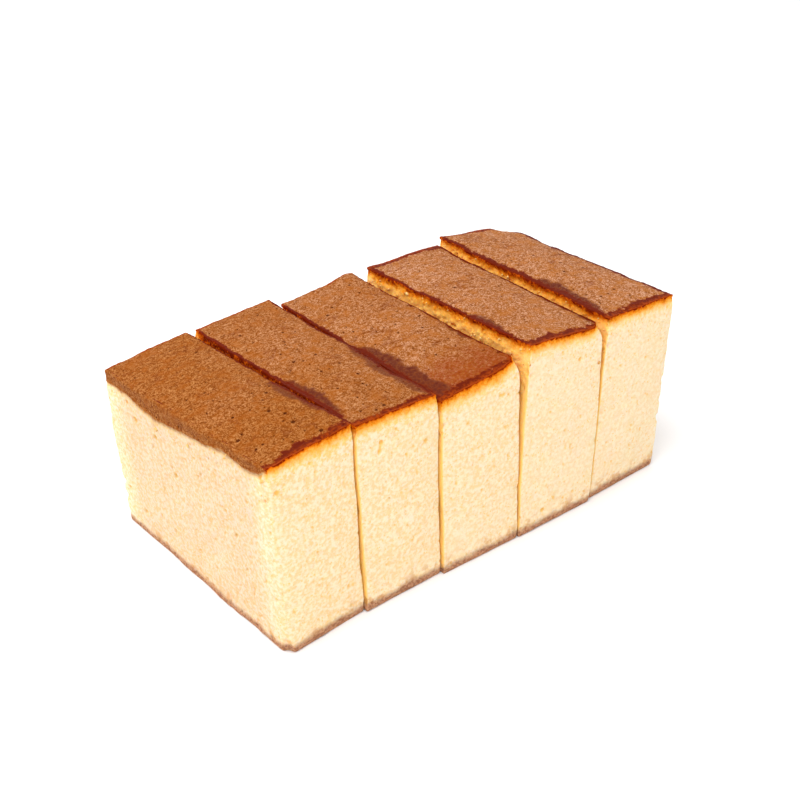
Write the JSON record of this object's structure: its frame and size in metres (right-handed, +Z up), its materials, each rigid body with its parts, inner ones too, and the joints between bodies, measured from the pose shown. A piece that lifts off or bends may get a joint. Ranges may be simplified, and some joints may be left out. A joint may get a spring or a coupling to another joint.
{
  "type": "sliced castella sponge cake",
  "caption": "Castella sponge loaf with a browned top, cut into upright slices that still stand together in a row.",
  "frame": {"origin": "centre of the row's bounding box in X and Y, at the level the slices stand on", "axes": "+X along the row of slices, +Y along each slice's length from the front end to the back end, +Z up"},
  "size_m": [0.1692, 0.0964, 0.0755],
  "materials": {
    "sponge": "open yellow sponge crumb with a browned top skin and a thin brown base"
  },
  "bodies": {
    "root": {"slice_1": "sponge", "slice_2": "sponge", "slice_3": "sponge", "slice_4": "sponge", "slice_5": "sponge"}
  },
  "joints": []
}
